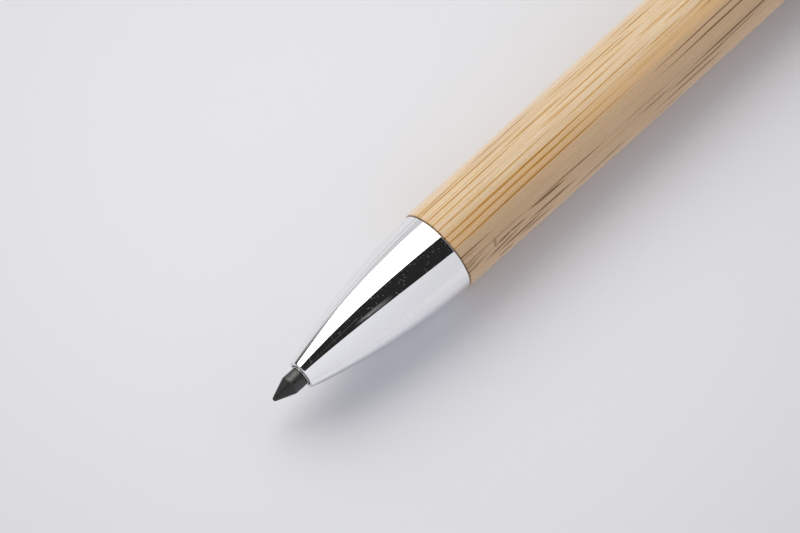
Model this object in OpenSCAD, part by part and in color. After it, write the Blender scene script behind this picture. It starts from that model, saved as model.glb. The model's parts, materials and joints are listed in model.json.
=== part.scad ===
// Inkless pencil with a bamboo barrel: a hard alloy writing tip on a click mechanism,
// behind a polished nose cone, with a clip, a rear collar and a push button.
// Lengths are in millimetres. Each piece is drawn along the pencil's own axis, where 0 is
// the rim of the nose cone and distances grow towards the button, and is then laid down.
// The pencil is drawn with its tip out, as it writes.

/* [Nose cone] */
// Length of the nose cone in front of the barrel
nose_len = 22; // [19:0.5:26]
// Diameter of the nose cone at the barrel
nose_d = 10.74; // [10.2:0.02:10.9]
// Slope of the nose cone's side where it meets the barrel
nose_slope = 1.8; // [0:0.1:2.5]
// Diameter of the rim at the front of the nose cone
rim_d = 3.7; // [3.5:0.1:4.4]
// Rounding of that rim's outer edge
rim_round = 0.2; // [0.1:0.05:0.25]
// Diameter of the hole that the tip comes out of
hole_d = 2.9; // [2.8:0.05:3]
// Depth of that hole, back to the seat of the spring
hole_len = 3.2; // [2.8:0.1:4]
// Diameter of the threaded spigot behind the nose cone
spigot_d = 6.2; // [5.8:0.1:6.4]
// Length of that spigot
spigot_len = 9; // [7:0.5:11]

/* [Barrel] */
// Length of the bamboo barrel
barrel_len = 97; // [88:1:106]
// Diameter of the barrel at its belly
barrel_d = 11.4; // [11.2:0.1:12]
// Diameter of the barrel at the nose cone
barrel_front_d = 11; // [10.9:0.02:11.1]
// Diameter of the barrel at the rear collar
barrel_rear_d = 10.8; // [10.6:0.1:11.1]
// Length over which the barrel widens from its front to its belly
swell_len = 30; // [24:1:34]
// Length of the straight belly
belly_len = 24; // [18:1:26]
// Bevel on both ends of the barrel
barrel_bevel = 0.15; // [0.05:0.05:0.2]
// Gap of the seam between nose cone and barrel
seam_gap = 0.12; // [0.05:0.01:0.2]

/* [Liner and couplers] */
// Outside diameter of the tube that lines the barrel
liner_d = 8.4; // [8.3:0.1:8.6]
// Wall of that tube
liner_wall = 0.4; // [0.3:0.05:0.45]
// Length of the threaded coupler behind the nose cone
front_coupler_len = 12; // [9:0.5:16]
// Length of the lip in the rear coupler that stops the cam sleeve
lip_len = 2; // [1.5:0.1:3]

/* [Writing tip] */
// Diameter of the tip
tip_d = 2.4; // [2.2:0.05:2.45]
// How far the tip stands out of the nose cone as it writes
tip_out = 4.4; // [3.8:0.1:4.8]
// Length of the tip's cone
cone_len = 2.64; // [2.2:0.02:3]
// Rounding of the point
point_r = 0.25; // [0.15:0.05:0.35]
// Diameter of the tail that fixes the tip in its holder
tail_d = 1.4; // [1.2:0.1:1.6]
// Length of that tail
tail_len = 6; // [4:0.5:8]

/* [Refill] */
// Diameter of the holder's sleeve round the tip's tail
holder_d = 2.6; // [2.5:0.02:2.64]
// How far that sleeve shows in front of the rim
holder_out = 0.08; // [0.04:0.02:0.2]
// Diameter of the flange that the spring pushes on
flange_d = 4.2; // [4:0.1:4.4]
// Length of that flange
flange_len = 1.2; // [0.8:0.1:2]
// Diameter of the refill tube
refill_d = 3.2; // [3:0.1:3.4]
// Wall of the refill tube
refill_wall = 0.4; // [0.3:0.05:0.5]
// Length of the stubs that close the refill tube at its ends
stub_len = 6; // [4:0.5:8]
// Length of the tail plug's rim behind the refill tube
plug_rim = 0.8; // [0.5:0.1:1.2]
// Diameter of the tail plug's pin
pin_d = 2; // [1.6:0.1:2.2]
// Length of the tail plug's pin
pin_len = 2.4; // [1.8:0.1:2.6]

/* [Return spring] */
// Outside diameter of the spring
spring_d = 4.4; // [4.2:0.1:4.5]
// Diameter of its wire
wire_d = 0.4; // [0.3:0.05:0.45]
// Number of its turns
spring_turns = 11; // [9:1:12]
// Length of the spring with the tip out
spring_len = 16; // [15:0.5:18]
// Pitch of the closer turn at each end
end_pitch = 0.9; // [0.88:0.02:1]

/* [Click mechanism] */
// How far the tip draws back into the nose cone
retract_travel = 5.4; // [5:0.1:6]
// How far the button goes in past the writing position
press_travel = 1.2; // [0.8:0.1:1.5]
// Number of ribs in the cam sleeve
rib_count = 4; // [3:1:4]
// Angle that each rib takes up
rib_angle = 38; // [30:1:40]
// Angle that each key and fin takes up
fin_angle = 28; // [22:1:30]
// Outside diameter of the cam sleeve
sleeve_d = 6.4; // [6.3:0.05:6.5]
// Diameter of the cam sleeve's bore, at the bottom of its slots
sleeve_bore_d = 5.4; // [5.3:0.05:5.5]
// Diameter inside the ribs of the cam sleeve
rib_d = 4.2; // [4.1:0.05:4.3]
// Wall that closes the slots at the rear of the cam sleeve
sleeve_end = 1.3; // [1:0.1:1.8]
// Rise of the slope on each rib and fin
ramp_rise = 0.9; // [0.5:0.1:1.2]
// Length of the plunger's keys
key_len = 3; // [2.4:0.1:3.4]
// Length of the plunger in front of its keys
crown_lead = 1.6; // [1.4:0.1:1.8]
// Height of the teeth between plunger and rotor
tooth_h = 0.9; // [0.7:0.1:1]
// Play between those teeth
tooth_gap = 0.5; // [0.45:0.05:0.6]
// Length of the rotor's fins
fin_len = 3.5; // [3:0.1:4]
// Length of the rotor in front of its fins
rotor_lead = 3; // [2.6:0.1:4]
// Diameter of the rotor's pilot in the plunger
pilot_d = 2; // [1.6:0.1:2.2]
// Length of that pilot
pilot_len = 2; // [1.5:0.1:2.5]

/* [Push button] */
// Diameter of the push button
button_d = 6; // [5.8:0.05:6.1]
// How far the button stands out of the collar as the pencil writes
button_out = 6; // [4:0.5:9]
// Length of the button that stays in the collar with the tip drawn back
button_hold = 2; // [1.6:0.1:2.4]
// Rounding of the button's end
button_round = 1.4; // [0.8:0.1:2]
// Thickness of the button's end over the plunger
button_top = 3; // [2.4:0.1:4]
// Diameter of the plunger's stem in the button
stem_d = 3.6; // [3:0.1:3.8]

/* [Rear collar] */
// Length of the rear collar
collar_len = 9.1; // [8.5:0.1:11]
// Diameter of the rear collar at the clip
collar_d = 10.5; // [10.2:0.1:10.6]
// Diameter of the rear collar at its end
collar_end_d = 8.2; // [7.8:0.1:9]
// Rounding of that end
collar_round = 0.5; // [0.3:0.1:0.6]
// Wall at the end of the rear collar, round the button
collar_wall = 1.3; // [1:0.1:1.5]

/* [Clip] */
// Thickness of the clip's sheet
clip_sheet = 0.8; // [0.6:0.05:1]
// Width of the clip at its bend
clip_w = 4.4; // [3.8:0.1:5]
// Width of the clip at its front end
clip_end_w = 3.2; // [2.6:0.1:3.6]
// Length of the clip's arm from the bend to its bump
clip_len = 35; // [30:0.5:38]
// Space under the clip at its bend, above the barrel's belly
clip_space = 1.5; // [1.3:0.1:2]
// Radius inside the clip's bend
bend_r = 0.9; // [0.7:0.1:1.2]
// Radius of the bump under the clip's front end
bump_r = 0.9; // [0.85:0.05:1.05]
// Gap between that bump and the barrel
bump_gap = 0.15; // [0.1:0.05:0.4]
// Angle that the clip's arm can spring outwards
flex_angle = 6; // [4:1:7]

/* [Fits] */
// Radial gap of glued and pressed pieces
glue_gap = 0.03; // [0.02:0.01:0.04]
// Radial gap of threads
thread_gap = 0.05; // [0.03:0.01:0.07]
// Radial gap of pieces that slide
slide_gap = 0.15; // [0.1:0.01:0.16]
// Gap between end faces that touch in use
seat_gap = 0.05; // [0.03:0.01:0.1]
// Gap left at the end of a travel
stop_gap = 0.3; // [0.2:0.05:0.4]

/* [Hidden] */
$fn = 96;

// Radii
nose_r = nose_d / 2;
rim_r = rim_d / 2;
hole_r = hole_d / 2;
spigot_r = spigot_d / 2;
barrel_r = barrel_d / 2;
barrel_front_r = barrel_front_d / 2;
barrel_rear_r = barrel_rear_d / 2;
liner_r = liner_d / 2;
coupler_r = liner_r - liner_wall - glue_gap;
tip_r = tip_d / 2;
tail_r = tail_d / 2;
holder_r = holder_d / 2;
flange_r = flange_d / 2;
refill_r = refill_d / 2;
refill_bore_r = refill_r - refill_wall;
pin_r = pin_d / 2;
spring_bore_r = spring_d / 2 + slide_gap;
sleeve_r = sleeve_d / 2;
slot_r = sleeve_bore_d / 2;
rib_r = rib_d / 2;
core_r = rib_r - slide_gap;
fin_r = slot_r - slide_gap;
pilot_r = pilot_d / 2;
button_r = button_d / 2;
stem_r = stem_d / 2;
collar_r = collar_d / 2;
collar_end_r = collar_end_d / 2;

// Places along the pencil, front to rear
spring_front = hole_len + seat_gap;
spring_rear = spring_front + spring_len;
flange_at = spring_rear + seat_gap;
refill_at = flange_at + flange_len;
barrel_at = nose_len + seam_gap;
belly_at = barrel_at + swell_len;
belly_end = belly_at + belly_len;
barrel_end = barrel_at + barrel_len;
clip_at = barrel_end + seat_gap;
collar_at = clip_at + clip_sheet + seat_gap;
collar_end = collar_at + collar_len;
neck_end = collar_end - collar_wall - stop_gap;
button_end = collar_end + button_out;
button_at = collar_end - button_hold - retract_travel;
sleeve_rear = button_at - press_travel - stop_gap;
slot_end = sleeve_rear - sleeve_end;
key_end = slot_end - retract_travel - stop_gap;
key_at = key_end - key_len;
crown_at = key_at - crown_lead;
rib_at = key_at - press_travel - stop_gap;
fin_end = rib_at - seat_gap;
fin_at = fin_end - fin_len;
rotor_at = fin_at - rotor_lead;
rotor_end = crown_at + tooth_h - tooth_gap;
sleeve_at = fin_at - press_travel - 2 * stop_gap;
coupler_at = sleeve_at - lip_len;
plug_end = rotor_at - seat_gap;
refill_end = plug_end - plug_rim;
tooth_count = 2 * rib_count;

// Side of the nose cone: an arc through the rim that meets the barrel at the slope above
nose_drop = nose_r - rim_r;
nose_arc = (pow(nose_drop, 2) + pow(nose_len, 2)) / (2 * (nose_drop * cos(nose_slope) - nose_len * sin(nose_slope)));
nose_arc_x = nose_r - nose_arc * cos(nose_slope);
nose_arc_z = nose_len + nose_arc * sin(nose_slope);
rim_round_x = nose_arc_x + sqrt(pow(nose_arc - rim_round, 2) - pow(nose_arc_z - rim_round, 2));

// Side of the rear collar: an arc that leaves the clip along the axis
collar_drop = collar_r - collar_end_r;
collar_arc = (pow(collar_drop, 2) + pow(collar_len, 2)) / (2 * collar_drop);
collar_arc_x = collar_r - collar_arc;
collar_round_x = collar_arc_x + sqrt(pow(collar_arc - collar_round, 2) - pow(collar_len - collar_round, 2));

// Cone of the tip, which meets the round point without an edge
point_at = point_r - tip_out;
shoulder_at = cone_len - tip_out;
cone_reach = norm([tip_r, shoulder_at - point_at]);
cone_angle = atan2(tip_r, shoulder_at - point_at) - asin(point_r / cone_reach);

// Clip: the arm leans in from its bend until the bump nearly meets the barrel
bend_x = barrel_r + clip_space - bend_r;
bend_z = clip_at - bend_r;
clip_top = bend_x + bend_r + clip_sheet;
bump_z = bend_z - clip_len;
bump_face = barrel_r_at(bump_z) + bump_gap + 2 * bump_r - clip_sheet + seat_gap;
clip_lean = acos((bump_face - bend_x) / norm([bend_r, clip_len])) - atan2(clip_len, bend_r);
cut_angle = 45;

// Rest on a table: the belly and a corner of the clip touch it
axis_h = barrel_r;
clip_drop = asin(axis_h / norm([clip_top, clip_w / 2])) - atan2(clip_w / 2, clip_top);
clip_side = clip_top * cos(clip_drop) + clip_w / 2 * sin(clip_drop);
axis_y = (barrel_r - clip_side) / 2;
axis_x = (tip_out - button_end) / 2;

// Centre line of the spring, with a closer turn at each end
spring_r = (spring_d - wire_d) / 2;
ring_count = 8;
wire_sides = 6;
mid_pitch = (spring_len - wire_d - 2 * end_pitch) / (spring_turns - 2);
function spring_z(t) = wire_d / 2 + end_pitch * min(t, 1)
    + mid_pitch * max(0, min(t, spring_turns - 1) - 1) + end_pitch * max(0, t - spring_turns + 1);
function spring_point(t) = [spring_r * cos(360 * t), spring_r * sin(360 * t), spring_z(t)];
spring_path = [for (i = [0 : spring_turns * ring_count]) spring_point(i / ring_count)];
spring_gap = min([for (i = [0 : len(spring_path) - 1]) for (j = [i + ring_count / 2 : len(spring_path) - 1])
    norm(spring_path[i] - spring_path[j])]) - wire_d;
echo(spring_gap = spring_gap);

// Radius of the barrel at a place on its rear taper
function barrel_r_at(z) =
    barrel_r - (barrel_r - barrel_rear_r) * (z - belly_end) / (barrel_end - barrel_bevel - belly_end);

// Lays the pencil down with its tip towards -X, on its belly and its clip
module lay() {
    translate([axis_x, axis_y, axis_h])
        rotate([90 - clip_drop, 0, 0])
            rotate([0, 90, 0])
                children();
}

// Turns an outline of radius and distance about the pencil's axis
module turned() {
    rotate_extrude()
        children();
}

// Outline of a plain ring or rod between two radii and two places
module band(r0, r1, z0, z1) {
    translate([r0, z0])
        square([r1 - r0, z1 - z0]);
}

// Part of a ring, centred on the clip's side of the pencil
module sector(r0, r1, z0, z1, angle) {
    rotate([0, 0, -angle / 2])
        rotate_extrude(angle = angle)
            band(r0, r1, z0, z1);
}

// Radial prism with a flat profile across and along the pencil
module radial(r, points) {
    rotate([90, 0, 90])
        linear_extrude(r)
            polygon(points);
}

// Notches between the teeth of a crown, cut from one end face
module notches(z, depth, turn) {
    half = PI * core_r / tooth_count;
    for (i = [0 : tooth_count - 1])
        rotate([0, 0, 360 * i / tooth_count + turn])
            translate([0, 0, z])
                radial(core_r + slide_gap, [[-half, 0], [-half, -depth], [half, -depth], [half, 0], [0, depth]]);
}

module writing_tip() {
    color("dimgray")
        lay()
            turned()
                union() {
                    polygon([[0, point_at],
                        [point_r * cos(cone_angle), point_at - point_r * sin(cone_angle)],
                        [tip_r, shoulder_at], [tip_r, -holder_out - seat_gap / 5],
                        [tail_r, -holder_out - seat_gap / 5], [tail_r, tail_len], [0, tail_len]]);
                    intersection() {
                        translate([0, point_at])
                            circle(point_r);
                        band(0, point_r, -tip_out, point_at);
                    }
                }
}

module tip_holder() {
    color("goldenrod")
        lay()
            turned()
                difference() {
                    union() {
                        band(0, holder_r, -holder_out, flange_at);
                        band(0, flange_r, flange_at, refill_at);
                        band(0, refill_bore_r - glue_gap, refill_at, refill_at + stub_len);
                    }
                    band(0, tail_r + glue_gap, -holder_out, tail_len + seat_gap);
                }
}

module refill_tube() {
    color("darkgoldenrod")
        lay()
            turned()
                band(refill_bore_r, refill_r, refill_at, refill_end);
}

module tail_plug() {
    color("dimgray")
        lay()
            turned()
                union() {
                    band(0, refill_bore_r - glue_gap, refill_end - stub_len, refill_end);
                    band(0, refill_r, refill_end, plug_end);
                    band(0, pin_r, plug_end, plug_end + pin_len);
                }
}

module return_spring() {
    n = len(spring_path);
    points = [for (i = [0 : n - 1]) for (j = [0 : wire_sides - 1])
        let (a = 360 * i / ring_count, b = 360 * j / wire_sides, r = spring_r + wire_d / 2 * cos(b))
        [r * cos(a), r * sin(a), spring_path[i][2] + wire_d / 2 * sin(b)]];
    sides = [for (i = [0 : n - 2]) for (j = [0 : wire_sides - 1])
        let (k = (j + 1) % wire_sides, p = i * wire_sides, q = p + wire_sides)
        each [[p + j, p + k, q + k], [p + j, q + k, q + j]]];
    front = [for (j = [1 : wire_sides - 2]) [0, j + 1, j]];
    rear = [for (j = [1 : wire_sides - 2]) [0, j, j + 1] + (n - 1) * wire_sides * [1, 1, 1]];
    color("silver")
        lay()
            translate([0, 0, spring_front])
                polyhedron(points, concat(sides, front, rear), convexity = 12);
}

// Outline of the nose cone's outside, with the edge of its rim rounded
module nose_outline() {
    touch = nose_arc / (nose_arc - rim_round);
    union() {
        difference() {
            intersection() {
                translate([nose_arc_x, nose_arc_z])
                    circle(nose_arc, $fn = 720);
                square([nose_r, nose_len]);
            }
            polygon([[rim_round_x, rim_round], [rim_round_x, -1], [nose_r, -1],
                [nose_r, nose_arc_z + (rim_round - nose_arc_z) * touch],
                [nose_arc_x + (rim_round_x - nose_arc_x) * touch, nose_arc_z + (rim_round - nose_arc_z) * touch]]);
        }
        translate([rim_round_x, rim_round])
            circle(rim_round);
    }
}

module nose_cone() {
    color("silver")
        lay()
            turned()
                difference() {
                    union() {
                        nose_outline();
                        band(0, spigot_r, nose_len - 1, nose_len + spigot_len);
                    }
                    band(0, hole_r, -1, hole_len + 1);
                    band(0, spring_bore_r, hole_len, nose_len + spigot_len + 1);
                }
}

module front_coupler() {
    color("goldenrod")
        lay()
            turned()
                band(spigot_r + thread_gap, coupler_r, barrel_at, barrel_at + front_coupler_len);
}

module barrel() {
    color("burlywood")
        lay()
            turned()
                polygon([[liner_r + glue_gap, barrel_at], [barrel_front_r - barrel_bevel, barrel_at],
                    [barrel_front_r, barrel_at + barrel_bevel], [barrel_r, belly_at], [barrel_r, belly_end],
                    [barrel_rear_r, barrel_end - barrel_bevel], [barrel_rear_r - barrel_bevel, barrel_end],
                    [liner_r + glue_gap, barrel_end]]);
}

module liner_tube() {
    color("goldenrod")
        lay()
            turned()
                band(liner_r - liner_wall, liner_r, barrel_at, barrel_end);
}

module rear_coupler() {
    color("goldenrod")
        lay()
            turned()
                difference() {
                    band(0, coupler_r, coupler_at, neck_end);
                    band(0, core_r + 2 * slide_gap, coupler_at - 1, sleeve_at + 1);
                    band(0, sleeve_r + glue_gap, sleeve_at - seat_gap, neck_end + 1);
                }
}

module cam_sleeve() {
    pitch = 360 / rib_count;
    half = sleeve_r * sin(rib_angle / 2);
    color("white")
        lay()
            difference() {
                turned()
                    band(0, sleeve_r, sleeve_at, sleeve_rear);
                difference() {
                    turned()
                        band(0, slot_r, sleeve_at - 1, slot_end);
                    for (i = [0 : rib_count - 1])
                        rotate([0, 0, pitch * (i + 0.5)])
                            difference() {
                                sector(rib_r / 2, sleeve_r, rib_at, sleeve_rear, rib_angle);
                                translate([0, 0, rib_at])
                                    radial(2 * sleeve_r, [[-half, 0], [-half, -1], [half, -1], [half, ramp_rise]]);
                            }
                }
                turned()
                    band(0, rib_r, sleeve_at - 1, sleeve_rear + 1);
            }
}

module rotor() {
    pitch = 360 / rib_count;
    half = sleeve_r * sin(fin_angle / 2);
    color("whitesmoke")
        lay()
            difference() {
                union() {
                    difference() {
                        turned()
                            band(0, core_r, rotor_at, rotor_end);
                        notches(rotor_end, -tooth_h, 180 / tooth_count);
                    }
                    turned()
                        band(0, pilot_r, rotor_at, rotor_end + pilot_len);
                    for (i = [0 : rib_count - 1])
                        rotate([0, 0, pitch * i])
                            difference() {
                                sector(pilot_r, fin_r, fin_at, fin_end, fin_angle);
                                translate([0, 0, fin_end])
                                    radial(sleeve_r, [[-half, -ramp_rise], [half, 0], [half, 1], [-half, 1]]);
                            }
                }
                turned()
                    band(0, pin_r + slide_gap, rotor_at - 1, rotor_at + pin_len + stop_gap);
            }
}

module plunger() {
    pitch = 360 / rib_count;
    color("dimgray")
        lay()
            difference() {
                union() {
                    turned()
                        union() {
                            band(0, core_r, crown_at, sleeve_rear);
                            band(0, stem_r, sleeve_rear - 1, button_end - button_top);
                        }
                    for (i = [0 : rib_count - 1])
                        rotate([0, 0, pitch * i])
                            sector(pilot_r, fin_r, key_at, key_end, fin_angle);
                }
                notches(crown_at, tooth_h, 0);
                turned()
                    band(0, pilot_r + slide_gap, crown_at - 1, rotor_end + pilot_len + stop_gap);
            }
}

module push_button() {
    color("silver")
        lay()
            turned()
                difference() {
                    union() {
                        band(0, button_r, button_at, button_end - button_round);
                        band(0, button_r - button_round, button_at, button_end);
                        translate([button_r - button_round, button_end - button_round])
                            circle(button_round);
                    }
                    band(0, stem_r + glue_gap, button_at - 1, button_end - button_top + seat_gap);
                }
}

// Outline of the rear collar's outside, with its rear edge rounded
module collar_outline() {
    touch = collar_arc / (collar_arc - collar_round);
    round_z = collar_len - collar_round;
    union() {
        difference() {
            intersection() {
                translate([collar_arc_x, 0])
                    circle(collar_arc, $fn = 360);
                square([collar_r, collar_len]);
            }
            polygon([[collar_round_x, round_z], [collar_round_x, collar_len + 1], [collar_r, collar_len + 1],
                [collar_r, round_z * touch], [collar_arc_x + (collar_round_x - collar_arc_x) * touch, round_z * touch]]);
        }
        translate([collar_round_x, round_z])
            circle(collar_round);
    }
}

module rear_collar() {
    color("silver")
        lay()
            turned()
                difference() {
                    translate([0, collar_at])
                        collar_outline();
                    band(0, coupler_r + thread_gap, collar_at - 1, collar_end - collar_wall);
                    band(0, button_r + slide_gap, collar_at - 1, collar_end + 1);
                }
}

// Part of the clip's bend, between two angles from the radial direction
module bend(from, to) {
    translate([bend_x, 0, bend_z])
        rotate([90, 0, 0])
            rotate([0, 0, from])
                rotate_extrude(angle = to - from)
                    translate([bend_r, -clip_w / 2])
                        square([clip_sheet, clip_w]);
}

module clip_band() {
    color("silver")
        lay()
            union() {
                difference() {
                    union() {
                        translate([0, 0, clip_at])
                            cylinder(r = collar_r, h = clip_sheet);
                        translate([0, -clip_w / 2, clip_at])
                            cube([bend_x, clip_w, clip_sheet]);
                    }
                    translate([0, 0, clip_at - 1])
                        cylinder(r = coupler_r + thread_gap, h = clip_sheet + 2);
                }
                bend(cut_angle + flex_angle + 1, 90);
            }
}

module clip_arm() {
    color("silver")
        lay()
            union() {
                bend(-clip_lean, cut_angle);
                translate([bend_x, 0, bend_z])
                    rotate([0, clip_lean, 0])
                        translate([bend_r, 0, 0])
                            union() {
                                rotate([0, 90, 0])
                                    linear_extrude(clip_sheet)
                                        union() {
                                            polygon([[0, -clip_w / 2], [clip_len, -clip_end_w / 2],
                                                [clip_len, clip_end_w / 2], [0, clip_w / 2]]);
                                            translate([clip_len, 0])
                                                circle(clip_end_w / 2);
                                        }
                                translate([clip_sheet - seat_gap - bump_r, 0, -clip_len])
                                    sphere(bump_r);
                            }
            }
}

writing_tip();
tip_holder();
refill_tube();
tail_plug();
return_spring();
nose_cone();
front_coupler();
barrel();
liner_tube();
rear_coupler();
cam_sleeve();
rotor();
plunger();
push_button();
rear_collar();
clip_band();
clip_arm();
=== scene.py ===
import json
import math

import bmesh
import bpy
from mathutils import Matrix, Vector


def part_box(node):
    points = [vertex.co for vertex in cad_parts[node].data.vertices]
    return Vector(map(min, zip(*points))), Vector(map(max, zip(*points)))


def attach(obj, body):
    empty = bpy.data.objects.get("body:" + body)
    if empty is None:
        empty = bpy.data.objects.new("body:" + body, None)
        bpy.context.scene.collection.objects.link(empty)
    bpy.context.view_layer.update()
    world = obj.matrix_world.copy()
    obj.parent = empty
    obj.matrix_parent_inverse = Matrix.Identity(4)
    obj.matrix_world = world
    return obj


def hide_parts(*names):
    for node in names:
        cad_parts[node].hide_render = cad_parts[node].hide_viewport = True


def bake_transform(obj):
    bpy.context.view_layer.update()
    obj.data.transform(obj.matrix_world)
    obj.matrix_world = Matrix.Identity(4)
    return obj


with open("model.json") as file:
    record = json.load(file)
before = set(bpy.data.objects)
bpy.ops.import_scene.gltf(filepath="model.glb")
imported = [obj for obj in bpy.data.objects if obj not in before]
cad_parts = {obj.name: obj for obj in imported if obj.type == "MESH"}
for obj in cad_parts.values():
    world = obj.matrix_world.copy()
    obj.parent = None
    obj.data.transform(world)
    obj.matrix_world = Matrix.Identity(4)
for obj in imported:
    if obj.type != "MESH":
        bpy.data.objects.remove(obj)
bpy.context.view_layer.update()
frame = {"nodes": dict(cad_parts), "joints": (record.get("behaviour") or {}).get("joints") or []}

# Places on the pencil, from the frame. Outlines below are in millimetres behind the nose cone's rim
MM = 0.001
ALONG = Vector((1, 0, 0))
AXIS = sum(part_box("barrel"), Vector()) / 2
RIM = Vector((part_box("nose_cone")[0].x, AXIS.y, AXIS.z))


def ends(node):
    """Where a node begins and ends behind the rim."""
    return [(corner.x - RIM.x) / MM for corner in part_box(node)]


TIP_END = ends("writing_tip")[0]
BARREL_FRONT, BARREL_REAR = ends("barrel")
COLLAR_FRONT, COLLAR_REAR = ends("rear_collar")
BUTTON_FRONT, BUTTON_REAR = ends("push_button")
SPRING_FRONT, SPRING_REAR = ends("return_spring")
SHOULDER = -1.84

# The clip's own directions: out from the pencil and sideways across the clip
CLIP_JOINT = next(joint for joint in frame["joints"] if joint["name"] == "clip_flex")
SIDEWAYS = -Vector(CLIP_JOINT["axis"]).normalized()
OUTWARD = SIDEWAYS.cross(ALONG)

# Meshes
SPIN_STEPS = 256
MERGE = 1e-7
SHARP = math.radians(32)

# View of the photograph, 800 by 533 pixels
IMAGE_W = 800
SENSOR_W = 36.0
VIEW_AZIMUTH = math.radians(-44.03)
VIEW_ELEVATION = math.radians(66.34)
VIEW_ROLL = math.radians(-0.56)
VIEW_DISTANCE = 0.41213
VIEW_FOCUS_PX = 3549.5
VIEW_TARGET = Vector((-0.04775, 0.00053, 0.0057))
VIEW_CLIP = 0.01

# The side of the pencil that faces the camera, as a turn about its axis
FACING = math.radians(17.48)
FACING_UP = Vector((0, -math.sin(FACING), math.cos(FACING)))
FACING_LEFT = Vector((0, math.cos(FACING), math.sin(FACING)))


def srgb(red, green, blue):
    """Linear colour of an sRGB colour from 0 to 255."""
    def linear(value):
        share = value / 255
        return share / 12.92 if share <= 0.04045 else ((share + 0.055) / 1.055) ** 2.4
    return (linear(red), linear(green), linear(blue), 1.0)


# Nodes
def feed(tree, socket, value):
    """Links an output to a socket, or sets the socket's value."""
    if isinstance(value, bpy.types.NodeSocket):
        tree.links.new(value, socket)
    else:
        socket.default_value = value


def add(tree, kind, inputs=None, **settings):
    """Adds a node, with its settings and with values or links for its inputs."""
    made = tree.nodes.new(kind)
    for name, value in settings.items():
        setattr(made, name, value)
    for name, value in (inputs or {}).items():
        feed(tree, made.inputs[name], value)
    return made


def calc(tree, operation, first, second=0.0, third=0.0, clamp=False):
    """Output of a Math node."""
    inputs = {0: first, 1: second, 2: third}
    return add(tree, "ShaderNodeMath", inputs, operation=operation, use_clamp=clamp).outputs[0]


def distance(tree, first, second):
    """Distance between two values."""
    return calc(tree, "ABSOLUTE", calc(tree, "SUBTRACT", first, second))


def ramp(tree, value, low, high, to_low=0.0, to_high=1.0):
    """Value eased from one range to another."""
    inputs = {"Value": value, "From Min": low, "From Max": high, "To Min": to_low, "To Max": to_high}
    return add(tree, "ShaderNodeMapRange", inputs, interpolation_type="SMOOTHSTEP").outputs["Result"]


def parts(tree, vector):
    """X, Y and Z of a vector."""
    return add(tree, "ShaderNodeSeparateXYZ", {"Vector": vector}).outputs


def share_along(tree, vector, way):
    """How much of a vector lies along a way."""
    return add(tree, "ShaderNodeVectorMath", {0: vector, 1: way}, operation="DOT_PRODUCT").outputs["Value"]


def stretched(tree, vector, along, across):
    """Coordinates with one scale along the pencil and another across it."""
    return add(tree, "ShaderNodeVectorMath", {0: vector, 1: (along, across, across)},
               operation="MULTIPLY").outputs["Vector"]


def noise(tree, vector, scale=1.0, detail=2.0, roughness=0.5):
    """Noise from 0 to 1, with most of it near the middle."""
    inputs = {"Vector": vector, "Scale": scale, "Detail": detail, "Roughness": roughness}
    return add(tree, "ShaderNodeTexNoise", inputs).outputs["Fac"]


def grain_noise(tree, vector, along, across, detail=2.0, roughness=0.5):
    """Noise with one scale along the pencil and another across it."""
    return noise(tree, stretched(tree, vector, along, across), 1.0, detail, roughness)


def blend_colour(tree, share, first, second, mode="MIX"):
    """Colour between two, or another mix of them."""
    made = add(tree, "ShaderNodeMix", data_type="RGBA", blend_type=mode)
    sockets = {socket.identifier: socket for socket in made.inputs}
    for name, value in (("Factor_Float", share), ("A_Color", first), ("B_Color", second)):
        feed(tree, sockets[name], value)
    return next(socket for socket in made.outputs if socket.identifier == "Result_Color")


def shaded(tree, colour, level):
    """Colour times a level or another colour."""
    return blend_colour(tree, 1.0, colour, level, "MULTIPLY")


def material(name):
    """New material with its Principled shader, and millimetre coordinates turned to face the camera."""
    made = bpy.data.materials.new(name)
    made.use_nodes = True
    tree = made.node_tree
    shader = tree.nodes["Principled BSDF"]
    place = add(tree, "ShaderNodeTexCoord").outputs["Object"]
    inputs = {"Vector": place, "Location": RIM, "Rotation": (FACING, 0, 0), "Scale": (MM, MM, MM)}
    local = add(tree, "ShaderNodeMapping", inputs, vector_type="TEXTURE").outputs["Vector"]
    return made, tree, shader, local


def surface(tree, shader, values):
    """Sets or links the shader's sockets."""
    for name, value in values.items():
        feed(tree, shader.inputs[name], value)


def bump(tree, shader, height, depth):
    """Relief of the given depth in millimetres."""
    made = add(tree, "ShaderNodeBump", {"Height": height, "Strength": 1.0, "Distance": depth * MM})
    tree.links.new(made.outputs["Normal"], shader.inputs["Normal"])


# Effects that finishes take up
def group(name, inputs, outputs):
    """New node group with its inner sockets."""
    tree = bpy.data.node_groups.new(name, "ShaderNodeTree")
    for label, kind in inputs:
        tree.interface.new_socket(label, in_out="INPUT", socket_type=kind)
    for label in outputs:
        tree.interface.new_socket(label, in_out="OUTPUT", socket_type="NodeSocketFloat")
    return tree, tree.nodes.new("NodeGroupInput").outputs, tree.nodes.new("NodeGroupOutput").inputs


def use(tree, effect, **inputs):
    """Outputs of an effect, with its inputs."""
    return add(tree, "ShaderNodeGroup", inputs, node_tree=effect).outputs


# Marks of each kind: slant in degrees, cells per millimetre along and across, rarity, half width and strength
MARKS = [
    (0, 9.0, 1.4, 0.4, 0.28, 0.28),
    (34, 1.1, 10.0, 0.62, 0.26, 0.3),
    (-52, 1.4, 11.0, 0.7, 0.26, 0.26),
    (0, 1.2, 7.0, 0.86, 0.3, 0.2),
    (0, 5.5, 5.5, 0.84, 0.28, 0.3),
]
MARK_CORE = 0.5
MARK_LEAST = 0.001
CROWD_SCALE = 0.4
CROWD_EDGE = (0.32, 0.5)


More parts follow.
